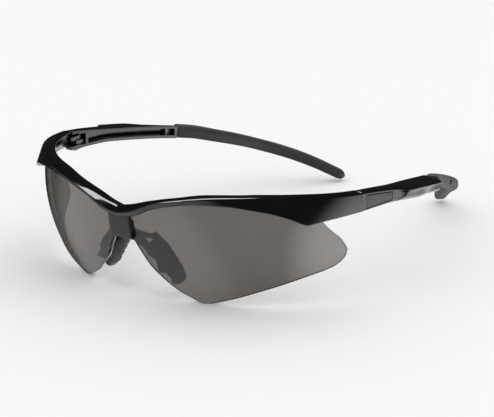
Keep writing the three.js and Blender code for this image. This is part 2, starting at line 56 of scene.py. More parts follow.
MM = 0.001
SETBACK = 77.6        # mm from the back of the bridge to the frame's origin
SPLIT_Y = 43.4        # where the brow's endpieces end and the temples begin
GAP = 0.3             # between two pieces that touch
HINGE = (68.4, 45.7)  # the hinge pin's axis, seen from above
KNUCKLE_FOOT = 33.6   # height of the lowest knuckle's underside
COVER_FOOT = 39.2     # the arm's top runs on over the knuckles above this
BROW_END = 88         # degrees round from the nose, past which the endpiece is cut off at the split
CORNER = 65.1         # degrees round from the nose to the brow's low pointed corner
ARM_END = 100         # where the arm's hard part ends and the soft tip begins
SEAM = 0.4            # how much wider than GAP the seam between brow and arm is, so that it reads as a line
LENS_FRONT = 0.4      # how far outside the shell's own surface the lens's front face lies
SHELL_CENTRE = 53.9   # how far behind the bridge the middle of the lens's plan lies
SHELL_HEIGHT = 20     # how high above the floor the shell's zero line lies at the nose
SIDE_SPREAD = 13.6    # how much more radius the plan has at the sides
SIDE_BULGE = 1.4      # how much fuller the sides are at mid height
BULGE_HEIGHT = -1     # the middle of that bulge, and half its reach up and down
BULGE_REACH = 15
CROWN_HEIGHT = -5.4   # the height at which the shell stands out furthest
CROWN_FLATNESS = 240  # how slowly it falls back above and below that height
POCKET = (48.1, 51.3)      # where the square pocket in the arm's inner face starts and ends
CHANNEL = (52.6, 92)       # the long channel behind it
END_HOLLOW = (92.4, 96.6)  # the short hollow by the tip
ARM_BEND = 96.8            # past this the arm's sections turn to lie square to the tip
INLAY = (46.6, 61.1)       # where the inlay starts and ends
INLAY_FOOT = 33.9
INLAY_HEIGHT = 4.8
INLAY_SLOPE = 0.06         # how much its top falls in each millimetre back
FLAT = 0.02                # a hollow's depth where there is none, so that all sections have as many points


# ---- sizes and colours a user would change ----
def linear(hex_colour):
    """An sRGB hex colour as linear red, green and blue."""
    channels = [int(hex_colour[i:i + 2], 16) / 255 for i in (1, 3, 5)]
    return tuple(c / 12.92 if c <= 0.04045 else ((c + 0.055) / 1.055) ** 2.4 for c in channels)


def length(name, description, default_mm):
    """A length property, its default given in millimetres."""
    return FloatProperty(
        name=name, description=description, default=default_mm * MM, unit="LENGTH", precision=4)


def colour(name, description, default):
    """A colour property, its default given as sRGB hex."""
    return FloatVectorProperty(
        name=name, description=description, default=linear(default), size=3, subtype="COLOR", min=0, max=1)


class GlassesSizes(bpy.types.PropertyGroup):
    """Sizes of the glasses' pieces."""

    front_radius: length("Front Radius", "Radius of the lens's plan at the nose", 56.8)
    lens_tilt: FloatProperty(
        name="Lens Tilt", description="How far the lens leans back at its foot", default=math.radians(14.5),
        subtype="ANGLE")
    lens_thickness: length("Lens Thickness", "Wall of the moulded lens", 2.1)
    lens_edge_round: length("Lens Edge", "Rounding of the lens's free edges", 0.5)
    brow_edge_round: length("Brow Edge", "Rounding of the brow's long ridges", 0.7)
    post_width: length("Post Width", "Width of the post in front of the lens at the nose", 10.2)
    post_thickness: length("Post Thickness", "Wall of that post", 1.2)
    knuckle_radius: length("Knuckle Radius", "Outer radius of the hinge knuckles", 1.7)
    knuckle_height: length("Knuckle Height", "Height of one hinge knuckle", 1.55)
    screw_radius: length("Screw Radius", "Radius of the hinge screw's shank", 0.75)
    channel_depth: length("Channel Depth", "Depth of the long channel in each arm's inner face", 2.3)
    inlay_thickness: length("Inlay Thickness", "Wall of the plate let into each arm", 0.6)
    pad_width: length("Pad Width", "Width of a nose pad", 8.6)
    pad_thickness: length("Pad Thickness", "Wall of a nose pad", 1.3)
    rib_pitch: length("Rib Pitch", "Distance between two ribs of a nose pad", 1.5)
    tip_width: length("Tip Width", "Width of the soft tip where it meets the arm", 5.2)
    tip_height: length("Tip Height", "Height of the soft tip where it meets the arm", 6.2)
    tip_corner: length("Tip Corner", "Rounding of the soft tip's section", 2.0)
    tip_steps: IntProperty(name="Tip Steps", description="Sections along a soft tip", default=72, min=8)
    socket_radius: length("Socket Radius", "Radius of the round socket in each tip's outer face", 1.15)


class GlassesColours(bpy.types.PropertyGroup):
    """Colours of the glasses' materials."""

    gloss_black: colour("Gloss Black", "Brow and arms", "#0b0b0d")
    smoke: colour("Smoke", "What the lens lets through", "#716d6a")
    nylon: colour("Nylon", "The clip that holds the pads", "#121214")
    pad: colour("Pad", "Nose pads", "#222324")
    inlay: colour("Inlay", "The plate in each arm", "#2a2a2b")
    rubber: colour("Rubber", "Soft tips", "#1f1f20")
    steel: colour("Steel", "Hinge screws", "#b9bbbd")
    floor: colour("Floor", "What the glasses stand on", "#fbfbfb")


# ---- curves ----
def smooth_line(*pairs):
    """A smooth line through (at, value) pairs in rising order, which never overshoots between two of them."""
    slopes = [(b[1] - a[1]) / (b[0] - a[0]) for a, b in zip(pairs, pairs[1:])]
    leans = []
    for i in range(len(pairs)):
        before, after = slopes[max(i - 1, 0)], slopes[min(i, len(slopes) - 1)]
        leans.append(2 * before * after / (before + after) if before * after > 0 else 0)

    def value_at(at):
        k = max([i for i, pair in enumerate(pairs[:-1]) if pair[0] <= at], default=0)
        span = pairs[k + 1][0] - pairs[k][0]
        t = min(1, max(0, (at - pairs[k][0]) / span))
        u = 1 - t
        return (u * u * (1 + 2 * t) * pairs[k][1] + t * t * (1 + 2 * u) * pairs[k + 1][1]
                + t * u * (u * leans[k] - t * leans[k + 1]) * span)
    return value_at


# Heights and depths of the brow against the angle from the nose.
BROW_LOW = smooth_line(
    (0, 12.4), (7.7, 13.8), (15, 16.9), (21.5, 18.6), (31, 19.7), (41, 18.9), (52.6, 15.5), (60, 11.3),
    (CORNER - 1, 7.6), (CORNER, 6.9), (CORNER + 1, 6.8), (69.5, 6.4), (75.1, 5.1), (80.4, 3.4),
    (BROW_END, 0.7))
BROW_LOW_OUT = smooth_line((0, 1.9), (34, 2.4), (50, 3.2), (CORNER, 4.0), (BROW_END, 1.1))
BROW_RIDGE = smooth_line(
    (0, 14.2), (3, 14.6), (7, 15.9), (12.5, 18.5), (17, 20.4), (23, 21.5), (35, 22.4), (50.8, 20.6),
    (65.5, 16.7), (BROW_END, 7.6))
BROW_CREST = smooth_line(
    (0, 16.6), (7.6, 18.3), (15, 20.3), (22.5, 21.8), (35, 22.8), (50.8, 20.9), (65.5, 17), (BROW_END, 7.9))
BROW_RIDGE_OUT = smooth_line((0, 3.0), (22.5, 3.9), (35, 4.0), (51, 2.8), (65.5, 2.1), (BROW_END, 2.4))
BROW_BACK = smooth_line(
    (0, 14.0), (5, 15.2), (12.5, 17.5), (26, 19.7), (35, 20.7), (51.5, 19.0), (61, 16.8), (73.6, 13.1),
    (BROW_END, 8.1))
BROW_BACK_OUT = smooth_line((0, -3.6), (12, -3.2), (67, -3.2), (80, -2.2), (BROW_END, -1.3))
GROOVE_DEPTH = smooth_line(
    (0, 1.1), (62, 1.1), (CORNER, 1.4), (68, 1.1), (74, 1.1), (78, 0.3), (BROW_END, 0.3))
BACK_LIP = smooth_line((0, 3.2), (74, 3.2), (79, 5.5), (BROW_END, 6.2))

# The lens's lower edge, and the free edge of its lobe above, against the angle from the nose.
LENS_END = 76.9
LENS_LOW = smooth_line(
    (0, 4.3), (4, 3.9), (6.9, -0.4), (10.1, -6.1), (13.5, -10.1), (20.2, -16.4), (24.5, -19.2), (28.6, -21.7),
    (38, -19.9), (51.3, -16.8), (64.3, -15), (71, -14.8), (74, -14), (76.2, -12.2), (LENS_END, -10.0))
LOBE_TOP = smooth_line(
    (0, 30), (69, 9.5), (70.8, 4.8), (72.3, 1.3), (73.5, -0.9), (74.9, -3.3), (76.2, -6.6), (LENS_END, -9.2))

# How far round each wing of the clip starts and ends, against the height.
WING_START = smooth_line((-11, 13.2), (-9, 12.6), (-4.5, 12.2), (-3, 9.5), (0, 7.6), (2.5, 3.4), (4, 3))
WING_END = smooth_line((-11, 20), (-9, 19), (-6, 16.2), (-3, 15.2), (0, 13), (4, 9))

# Sides, top and bottom of the arm against the distance back.
RUN_OUT = ARM_END + 9
ARM_INNER = smooth_line((SPLIT_Y, 68), (52, 67.8), (60, 67.2), (78.5, 64.3), (103, 59.1), (RUN_OUT, 55.7))
ARM_OUTER = smooth_line(
    (SPLIT_Y, 72), (52, 72.7), (61.5, 73.05), (63.2, 73.2), (65.2, 74.3), (66.6, 75.6), (67.5, 76.3),
    (78.5, 74.9), (89, 71.2), (103, 66), (RUN_OUT, 62.6))
ARM_FOOT = smooth_line((SPLIT_Y, 71.9), (65.5, 72.5), (78.5, 72.2), (89, 69.6), (103, 65.6), (RUN_OUT, 62.2))
ARM_TOP = smooth_line((SPLIT_Y, 40.8), (52, 39.7), (67.5, 37.2), (78.5, 35.6), (103, 31.4), (RUN_OUT, 30.1))
RIDGE_DROP = smooth_line((SPLIT_Y, 0.2), (65.5, 0.2), (67.5, 0.3), (80, 0.4), (88, 0.9), (103, 1.3))
ARM_LOW = smooth_line((SPLIT_Y, 33), (60, 32.5), (72, 31.1), (89, 28.5), (103, 25.8), (RUN_OUT, 24.5))

# The lines that the soft tip and a nose pad follow.
TIP_POINTS = ((63, 99.8, 29.3), (59.2, 106.5, 27.9), (55.4, 114, 25.5), (51.2, 125, 21.8), (47.3, 136, 17.5),
              (40.7, 145.3, 13.2), (33, 152.8, 8.6), (24, 161.8, 1.9))
PAD_POINTS = ((5, 5.4, 22), (8.2, 6.6, 18.3), (10.9, 7.2, 14.6), (13.4, 7.7, 11.1), (15.3, 8.2, 8),
              (16.4, 8.3, 5.6))
PAD_ACROSS = Vector((-0.1, 0.99, 0.05)).normalized()


def path_points(points, count):
    """Evenly spaced places along a smooth path through points, in millimetres."""
    ends = [Vector(p) for p in points]
    ends = [2 * ends[0] - ends[1], *ends, 2 * ends[-1] - ends[-2]]
    fine = []
    for a, b, c, d in zip(ends, ends[1:], ends[2:], ends[3:]):
        for i in range(24):
            t = i / 24
            fine.append(0.5 * (2 * b + (c - a) * t + (2 * a - 5 * b + 4 * c - d) * t ** 2
                               + (3 * b - a - 3 * c + d) * t ** 3))
    fine.append(ends[-2])
    run = [0]
    for a, b in zip(fine, fine[1:]):
        run.append(run[-1] + (b - a).length)
    found, k = [], 0
    for i in range(count + 1):
        want = run[-1] * i / count
        while k + 2 < len(run) and run[k + 1] < want:
            k += 1
        share = (want - run[k]) / (run[k + 1] - run[k])
        found.append(fine[k].lerp(fine[k + 1], min(1, share)))
    return found


def tangents(path):
    last = len(path) - 1
    return [(path[min(i + 1, last)] - path[max(i - 1, 0)]).normalized() for i in range(last + 1)]


def shell(sizes, angle, height, out):
    """A point of the surface that the lens follows: an oval plan that leans back, fuller at mid height."""
    turn, tilt = math.radians(angle), sizes.lens_tilt
    side = math.sin(turn) ** 2
    bulge = SIDE_BULGE * (1 - ((height - BULGE_HEIGHT) / BULGE_REACH) ** 2)
    crown = (height - CROWN_HEIGHT) ** 2 / CROWN_FLATNESS
    radius = sizes.front_radius / MM + side * (SIDE_SPREAD + bulge) - crown + out
    back = SHELL_CENTRE - radius * math.cos(turn)
    return Vector((radius * math.sin(turn), back * math.cos(tilt) - height * math.sin(tilt),
                   SHELL_HEIGHT + back * math.sin(tilt) + height * math.cos(tilt)))


# ---- meshes ----
def steps(start, end, count):
    return [start + (end - start) * i / count for i in range(count + 1)]


def rounded(corners, radii, pieces=4):
    """A closed outline with each corner rounded off by its own radius, always with as many points."""
    outline = []
    for i, (corner, radius) in enumerate(zip(corners, radii)):
        here = Vector(corner)
        sides = [Vector(corners[i - 1]) - here, Vector(corners[(i + 1) % len(corners)]) - here]
        ends = [here + side * min(0.45, radius / max(side.length, 1e-6)) for side in sides]
        for t in steps(0, 1, pieces):
            outline.append((1 - t) ** 2 * ends[0] + 2 * t * (1 - t) * here + t * t * ends[1])
    return outline


def shrunk(ring, by):
    """A ring drawn in towards its middle by a distance, to round off the end of a loft."""
    middle = sum(ring, Vector((0, 0, 0))) / len(ring)
    return [p + (middle - p) * min(0.5, by / max((middle - p).length, 1e-6)) for p in ring]


def loft(rings, closed=False):
    """Corners and faces of a body through a row of rings. A closed one has no ends."""
    size, rows = len(rings[0]), len(rings)
    corners = [p for ring in rings for p in ring]
    faces = []
    for row in range(rows if closed else rows - 1):
        below, above = row * size, (row + 1) % rows * size
        for k in range(size):
            j = (k + 1) % size
            faces.append((below + k, below + j, above + j, above + k))
    if not closed:
        faces += [tuple(reversed(range(size))), tuple(range((rows - 1) * size, rows * size))]
    return corners, faces


def new_mesh(name, bodies, side=1):
    """One object from several closed bodies in millimetres, mirrored to the wearer's right if side is -1."""
    mesh = bpy.data.meshes.new(name)
    made = bmesh.new()
    for corners, faces in bodies:
        placed = [made.verts.new(((p.x * side) * MM, (p.y - SETBACK) * MM, p.z * MM)) for p in corners]
        for face in faces:
            made.faces.new([placed[k] for k in face])
    bmesh.ops.recalc_face_normals(made, faces=made.faces)
    made.to_mesh(mesh)
    made.free()
    piece = bpy.data.objects.new(name, mesh)
    bpy.context.scene.collection.objects.link(piece)
    return piece


def apply_modifiers(piece):
    """The piece with its modifiers worked into a plain mesh."""
    bpy.context.view_layer.update()
    graph = bpy.context.evaluated_depsgraph_get()
    result = bpy.data.meshes.new_from_object(piece.evaluated_get(graph), depsgraph=graph)
    piece.modifiers.clear()
    piece.data = result
    return piece


def cut(piece, cutters):
    """Takes the cutters' bodies away from the piece."""
    for cutter in cutters:
        tool = piece.modifiers.new("Cut", "BOOLEAN")
        tool.object, tool.operation, tool.solver = cutter, "DIFFERENCE", "EXACT"
    apply_modifiers(piece)
    for cutter in cutters:
        bpy.data.objects.remove(cutter)
    return piece


def join(piece, others):
    """Adds other objects' meshes to the piece, body by body, keeping its first material."""
    merged = bmesh.new()
    for source in [piece, *others]:
        merged.from_mesh(source.data)
    merged.to_mesh(piece.data)
    merged.free()
    for other in others:
        bpy.data.objects.remove(other)
    return piece


def finish_piece(piece, body, node, material, angle=32):
    """Gives a piece its material, its soft and sharp edges, and its place on the CAD model."""
    piece.data.materials.clear()
    piece.data.materials.append(material)
    for face in piece.data.polygons:
        face.material_index = 0
    piece.data.shade_smooth()
    piece.data.set_sharp_from_angle(angle=math.radians(angle))
    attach(piece, body)
    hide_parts(node)
    return piece


def circle(centre, radius, z, corners):
    """A level ring of points round a centre."""
    return [Vector((centre[0] + radius * math.cos(a), centre[1] + radius * math.sin(a), z))
            for a in steps(0, 2 * math.pi, corners)[:-1]]


def drum(centre, radius, z0, z1, soft=0.12, corners=40):
    """An upright round body with softened edges."""
    levels = [(z0, -soft), (z0 + soft, 0), (z1 - soft, 0), (z1, -soft)]
    return loft([circle(centre, radius + grow, z, corners) for z, grow in levels])


def knuckle(sizes, tier, towards, reach):
    """One hinge knuckle with its bore, and the tongue that joins it to its body: towards is -1 for one that
    reaches forwards and 1 for one that reaches back."""
    radius, bore = sizes.knuckle_radius / MM, sizes.screw_radius / MM + 0.12
    height = sizes.knuckle_height / MM
    z0 = KNUCKLE_FOOT + tier * (height + GAP)

    def outer(turn, shrink):
        along = math.sin(turn) * towards
        if along <= 0:
            distance = radius
        else:
            distance = min(radius / max(abs(math.cos(turn)), 1e-6), reach / along)
        return distance - shrink

    rings, corners, soft = [], 64, 0.15
    for z, shrink in ((z0, soft), (z0 + soft, 0), (z0 + height - soft, 0), (z0 + height, soft)):
        ring = []
        for turn in steps(0, 2 * math.pi, corners)[:-1]:
            distance = outer(turn, shrink)
            ring.append(Vector((HINGE[0] + distance * math.cos(turn), HINGE[1] + distance * math.sin(turn), z)))
        rings.append(ring)
    rings += [circle(HINGE, bore, z, corners) for z in (z0 + height, z0)]
    return loft(rings, closed=True)


# ---- materials ----
def fill(tree, node, sockets):
    """Fills a node's inputs: with a link where an output is given, with the value itself otherwise."""
    for name, value in sockets.items():
        if isinstance(value, bpy.types.NodeSocket):
            tree.links.new(value, node.inputs[name])
        else:
            node.inputs[name].default_value = value


def add_node(tree, kind, sockets, **settings):
    """Adds a node, sets its properties, and fills its inputs."""
    node = tree.nodes.new(kind)
    for name, value in settings.items():
        setattr(node, name, value)
    fill(tree, node, sockets)
    return node


def new_material(name, shader):
    """A material with a Principled shader set to shader, and its tree, shader node and Object coordinates."""
    material = bpy.data.materials.new(name)
    material.use_nodes = True
    tree = material.node_tree
    tree.nodes.clear()
    surface = add_node(tree, "ShaderNodeBsdfPrincipled", shader)
    add_node(tree, "ShaderNodeOutputMaterial", {"Surface": surface.outputs["BSDF"]})
    place = add_node(tree, "ShaderNodeTexCoord", {}).outputs["Object"]
    return material, tree, surface, place


def shade(colour_value, share):
    """A lighter or darker shade of a colour, with full alpha."""
    return (*(min(1, c * share) for c in colour_value), 1)


def finish_surface(tree, surface, pattern, dullness, relief, tones=None, span=(0, 1)):
    """Makes a surface vary as a moulding does. Its roughness goes from the first to the second dullness as the
    pattern crosses the span, its colour follows the pattern between two tones, and its relief is a pattern, how
    strongly it shows, and its depth in millimetres."""
    dulled = add_node(tree, "ShaderNodeMapRange", {
        "Value": pattern, "From Min": span[0], "From Max": span[1], "To Min": dullness[0], "To Max": dullness[1]})
    height, strength, depth = relief
    raised = add_node(tree, "ShaderNodeBump", {"Height": height, "Strength": strength, "Distance": depth * MM})
    fill(tree, surface, {"Roughness": dulled.outputs["Result"], "Normal": raised.outputs["Normal"]})
    if tones:
        mixed = add_node(tree, "ShaderNodeMix", {"Factor": pattern, "A": tones[0], "B": tones[1]},
                         data_type="RGBA")
        fill(tree, surface, {"Base Color": mixed.outputs["Result"]})


def moulded_gloss_black(colours):
    """Injection-moulded polycarbonate from a polished mould: deep black, mirror-like, with the slow waviness
    of a cooled moulding and a few faint rubbed patches that dull it slightly."""
    material, tree, surface, place = new_material("Polished Black Polycarbonate", {"IOR": 1.58})
    waves = add_node(tree, "ShaderNodeTexNoise", {
        "Vector": place, "Scale": 1 / (14 * MM), "Detail": 1, "Roughness": 0.5}).outputs["Fac"]
    rubbed = add_node(tree, "ShaderNodeTexNoise", {
        "Vector": place, "Scale": 1 / (3.5 * MM), "Detail": 6, "Roughness": 0.65}).outputs["Fac"]
    finish_surface(tree, surface, rubbed, (0.08, 0.2), (waves, 1, 0.06), span=(0.35, 0.75),
                   tones=(shade(colours.gloss_black, 1), shade(colours.gloss_black, 1.5)))
    return material


def smoke_polycarbonate(colours):
    """Clear polycarbonate dyed smoke grey through and through, moulded and hard-coated: it darkens what is
    seen through it, and mirrors the room more the flatter it is looked at."""
    material, tree, surface, place = new_material("Smoke Polycarbonate", {
        "Base Color": shade(colours.smoke, 1), "IOR": 1.58, "Transmission Weight": 1.0})
    haze = add_node(tree, "ShaderNodeTexNoise", {
        "Vector": place, "Scale": 1 / (9 * MM), "Detail": 2, "Roughness": 0.5}).outputs["Fac"]
    waves = add_node(tree, "ShaderNodeTexNoise", {
        "Vector": place, "Scale": 1 / (30 * MM), "Detail": 0, "Roughness": 0.5}).outputs["Fac"]
    finish_surface(tree, surface, haze, (0, 0.02), (waves, 1, 0.05), span=(0.4, 0.8))
    return material


def satin_nylon(colours):
    """Glass-filled nylon from a lightly blasted mould: black with a satin, slightly cloudy face."""
    material, tree, surface, place = new_material("Satin Nylon", {"IOR": 1.53})
    grain = add_node(tree, "ShaderNodeTexNoise", {
        "Vector": place, "Scale": 1 / (0.35 * MM), "Detail": 2, "Roughness": 0.5}).outputs["Fac"]
    finish_surface(tree, surface, grain, (0.32, 0.5), (grain, 0.5, 0.03),
                   tones=(shade(colours.nylon, 0.8), shade(colours.nylon, 1.4)))
    return material


def pad_elastomer(colours):
    """Thermoplastic elastomer from a polished mould: dark grey, soft-looking, with a skin that still shines."""
    material, tree, surface, place = new_material("Pad Elastomer", {
        "IOR": 1.5, "Coat Weight": 0.4, "Coat Roughness": 0.25})
    cloud = add_node(tree, "ShaderNodeTexNoise", {
        "Vector": place, "Scale": 1 / (2.2 * MM), "Detail": 3, "Roughness": 0.5}).outputs["Fac"]
    grain = add_node(tree, "ShaderNodeTexNoise", {
        "Vector": place, "Scale": 1 / (0.3 * MM), "Detail": 2, "Roughness": 0.5}).outputs["Fac"]
    finish_surface(tree, surface, cloud, (0.38, 0.55), (grain, 0.5, 0.02),
                   tones=(shade(colours.pad, 0.75), shade(colours.pad, 1.2)))
    return material


def spark_eroded_grey(colours):
    """ABS from a spark-eroded mould: even dark grey, with a fine matt grain of about a fifth of a millimetre.
    It is drawn twice as coarse, or it would not show at all."""
    material, tree, surface, place = new_material("Spark-Eroded ABS", {"IOR": 1.54})
    pits = add_node(tree, "ShaderNodeTexVoronoi", {"Vector": place, "Scale": 1 / (0.45 * MM)}).outputs["Distance"]
    wear = add_node(tree, "ShaderNodeTexNoise", {
        "Vector": place, "Scale": 1 / (2.5 * MM), "Detail": 4, "Roughness": 0.5}).outputs["Fac"]
    finish_surface(tree, surface, wear, (0.45, 0.6), (pits, 0.6, 0.05),
                   tones=(shade(colours.inlay, 0.85), shade(colours.inlay, 1.2)))
    return material


def tip_rubber(colours):
    """Soft thermoplastic rubber: matt charcoal with a leathery grain and faint paler marks of handling."""
    material, tree, surface, place = new_material("Soft Tip Rubber", {
        "IOR": 1.5, "Sheen Weight": 0.15, "Sheen Roughness": 0.5})
    grain = add_node(tree, "ShaderNodeTexVoronoi", {"Vector": place, "Scale": 1 / (0.9 * MM)}).outputs["Distance"]
    marks = add_node(tree, "ShaderNodeTexNoise", {
        "Vector": place, "Scale": 1 / (4 * MM), "Detail": 5, "Roughness": 0.6}).outputs["Fac"]
    finish_surface(tree, surface, marks, (0.55, 0.75), (grain, 0.5, 0.06),
                   tones=(shade(colours.rubber, 0.8), shade(colours.rubber, 1.3)))
    return material


def turned_steel(colours):
    """Turned stainless steel: bright, with a fine unevenness of tool marks in its shine."""
    material, tree, surface, place = new_material("Turned Stainless Steel", {
        "Base Color": shade(colours.steel, 1), "Metallic": 1.0})
    marks = add_node(tree, "ShaderNodeTexNoise", {
        "Vector": place, "Scale": 1 / (0.2 * MM), "Detail": 1, "Roughness": 0.5}).outputs["Fac"]
    finish_surface(tree, surface, marks, (0.22, 0.38), (marks, 0.5, 0.01))
    return material


def pale_floor(colours):
    """Matt white card: near white, with an even surface."""
    material, tree, surface, place = new_material("White Card", {"Roughness": 0.9, "Specular IOR Level": 0.1})
    fibre = add_node(tree, "ShaderNodeTexNoise", {
        "Vector": place, "Scale": 1 / (3 * MM), "Detail": 3, "Roughness": 0.5})
    white = add_node(tree, "ShaderNodeMix", {
        "Factor": fibre.outputs["Fac"], "A": shade(colours.floor, 0.985), "B": shade(colours.floor, 1)},
        data_type="RGBA")
    fill(tree, surface, {"Base Color": white.outputs["Result"]})
    return material


def material_of(kind):
    """The material of that kind, made the first time it is asked for."""
    name = f"glasses_{kind.__name__}"
    found = bpy.data.materials.get(bpy.context.scene.get(name, ""))
    if found is None:
        found = kind(bpy.context.scene.glasses_colours)
        bpy.context.scene[name] = found.name
    return found


# ---- Geometry Nodes ----
def new_tree(name, sockets):
    """A Geometry Nodes tree with a geometry input and output and these named inputs, and its input node."""
    tree = bpy.data.node_groups.new(name, "GeometryNodeTree")
    tree.interface.new_socket("Geometry", in_out="INPUT", socket_type="NodeSocketGeometry")
    for socket, (kind, default) in sockets.items():
        made = tree.interface.new_socket(socket, in_out="INPUT", socket_type=kind)
        if default is not None:
            made.default_value = default
    tree.interface.new_socket("Geometry", in_out="OUTPUT", socket_type="NodeSocketGeometry")
    return tree, add_node(tree, "NodeGroupInput", {})


def end_tree(tree, geometry, inputs):
    """Closes a tree: its instances made real, its material set, its result handed out."""
    real = add_node(tree, "GeometryNodeRealizeInstances", {"Geometry": geometry})
    painted = add_node(tree, "GeometryNodeSetMaterial", {
        "Geometry": real.outputs["Geometry"], "Material": inputs.outputs["Material"]})
    add_node(tree, "NodeGroupOutput", {"Geometry": painted.outputs["Geometry"]})
    return tree


def sleeve_tree():
    """A rounded-box section swept along the mesh's line of points, scaled by each point's girth."""
    tree, inputs = new_tree("Soft Sleeve", {
        "Width": ("NodeSocketFloat", 0.0052), "Height": ("NodeSocketFloat", 0.0062),
        "Corner": ("NodeSocketFloat", 0.002), "Corner Steps": ("NodeSocketInt", 6),
        "Material": ("NodeSocketMaterial", None)})
    line = add_node(tree, "GeometryNodeMeshToCurve", {"Mesh": inputs.outputs["Geometry"]})
    upright = add_node(tree, "GeometryNodeSetCurveNormal", {"Curve": line.outputs["Curve"]}, mode="Z_UP")
    girth = add_node(tree, "GeometryNodeInputNamedAttribute", {"Name": "girth"}, data_type="FLOAT")
    section = add_node(tree, "GeometryNodeCurvePrimitiveQuadrilateral", {
        "Width": inputs.outputs["Height"], "Height": inputs.outputs["Width"]})
    soft = add_node(tree, "GeometryNodeFilletCurve", {
        "Curve": section.outputs["Curve"], "Radius": inputs.outputs["Corner"],
        "Count": inputs.outputs["Corner Steps"]}, mode="POLY")
    body = add_node(tree, "GeometryNodeCurveToMesh", {
        "Curve": upright.outputs["Curve"], "Profile Curve": soft.outputs["Curve"],
        "Scale": girth.outputs["Attribute"], "Fill Caps": True})
    return end_tree(tree, body.outputs["Mesh"], inputs)


def rib_tree():
    """Soft ribs set at a pitch along the mesh's line, each lying across it."""
    tree, inputs = new_tree("Pad Ribs", {
        "Pitch": ("NodeSocketFloat", 0.0015), "Rib Length": ("NodeSocketFloat", 0.0069),
        "Rib Width": ("NodeSocketFloat", 0.00075), "Rib Rise": ("NodeSocketFloat", 0.0009),
        "Across": ("NodeSocketVector", (0, 1, 0)), "Material": ("NodeSocketMaterial", None)})
    line = add_node(tree, "GeometryNodeMeshToCurve", {"Mesh": inputs.outputs["Geometry"]})
    places = add_node(tree, "GeometryNodeResampleCurve", {
        "Curve": line.outputs["Curve"], "Length": inputs.outputs["Pitch"]}, mode="LENGTH")
    rib = add_node(tree, "GeometryNodeMeshUVSphere", {"Segments": 10, "Rings": 8, "Radius": 0.5})
    along = add_node(tree, "GeometryNodeInputTangent", {})
    turned = add_node(tree, "FunctionNodeAlignRotationToVector", {
        "Vector": along.outputs["Tangent"]}, axis="Z")
    across = add_node(tree, "FunctionNodeAlignRotationToVector", {
        "Rotation": turned.outputs["Rotation"], "Vector": inputs.outputs["Across"]}, axis="Y", pivot_axis="Z")
    size = add_node(tree, "ShaderNodeCombineXYZ", {
        "X": inputs.outputs["Rib Rise"], "Y": inputs.outputs["Rib Length"], "Z": inputs.outputs["Rib Width"]})
    row = add_node(tree, "GeometryNodeInstanceOnPoints", {
        "Points": places.outputs["Curve"], "Instance": rib.outputs["Mesh"],
        "Rotation": across.outputs["Rotation"], "Scale": size.outputs["Vector"]})
    return end_tree(tree, row.outputs["Instances"], inputs)


def line_object(name, path, side=1, girths=None):
    """A mesh of points joined by edges, in metres, for a tree to work along."""
    mesh = bpy.data.meshes.new(name)
    mesh.from_pydata([(p.x * side * MM, (p.y - SETBACK) * MM, p.z * MM) for p in path],
                     [(i, i + 1) for i in range(len(path) - 1)], [])
    if girths:
        mesh.attributes.new("girth", "FLOAT", "POINT").data.foreach_set("value", girths)
    piece = bpy.data.objects.new(name, mesh)
    bpy.context.scene.collection.objects.link(piece)
    return piece


def run_tree(piece, tree, values):
    """Puts the tree on the piece with these inputs, and makes the result a plain mesh."""
    modifier = piece.modifiers.new(tree.name, "NODES")
    modifier.node_group = tree
    for item in tree.interface.items_tree:
        if item.item_type == "SOCKET" and item.in_out == "INPUT" and item.name in values:
            modifier[item.identifier] = values[item.name]
    return apply_modifiers(piece)


# ---- pieces ----
def brow_section(sizes, turn):
    """The brow's section at an angle from the nose: heights and depths of its outline."""
    low, back, back_out = BROW_LOW(turn), BROW_BACK(turn), BROW_BACK_OUT(turn)
    ridge, ridge_out, crest = BROW_RIDGE(turn), BROW_RIDGE_OUT(turn), BROW_CREST(turn)
    lip = min(back - 1.5, max(back - BACK_LIP(turn), low))
    roof = max(low + GROOVE_DEPTH(turn), lip + 0.05)
    inner = max(-1.7 - GAP, back_out + 0.6)
    soft = sizes.brow_edge_round / MM
    groove_front = LENS_FRONT + GAP
    return rounded(
        [(BROW_LOW_OUT(turn), low), (ridge_out, ridge), (ridge_out - 1.8, crest),
         ((ridge_out + back_out) / 2 - 0.7, (crest + back) / 2 + 0.3), (back_out, back), (back_out, lip),
         (inner, lip), (inner, roof), (groove_front, low + GROOVE_DEPTH(turn)), (groove_front, low)],
        [0.5, soft, 0.8, 1.6, soft, 0.35, 0.1, 0.1, 0.1, 0.15])


def meets_plane(point_at, low, high, plane):
    """Where point_at, which is further and further past a plane, crosses it. The plane is (point, normal)."""
    for _ in range(22):
        middle = (low + high) / 2
        if (point_at(middle) - plane[0]).dot(plane[1]) < 0:
            low = middle
        else:
            high = middle
    return low


def brow_rings(sizes):
    """All of the brow's sections. Over the last stretch they turn until they lie flat on the split."""
    bend, soft_end, past = 70, 0.25, 12
    split = (Vector((0, SPLIT_Y - soft_end, 0)), Vector((0, 1, 0)))

    def point(turn, k):
        out, height = brow_section(sizes, turn)[k]
        return shell(sizes, turn, height, out)

    ends = [meets_plane(lambda turn: point(turn, k), bend, BROW_END + past, split)
            for k in range(len(brow_section(sizes, bend)))]
    half = []
    for angle in steps(0, BROW_END, 110):
        if angle <= bend:
            half.append([shell(sizes, angle, height, out) for out, height in brow_section(sizes, angle)])
        else:
            share = (angle - bend) / (BROW_END - bend)
            half.append([point(bend + share * (end - bend), k) for k, end in enumerate(ends)])
    half.append([p + Vector((0, soft_end, 0)) for p in shrunk(half[-1], soft_end)])
    return [[Vector((-p.x, p.y, p.z)) for p in ring] for ring in reversed(half[1:])] + half


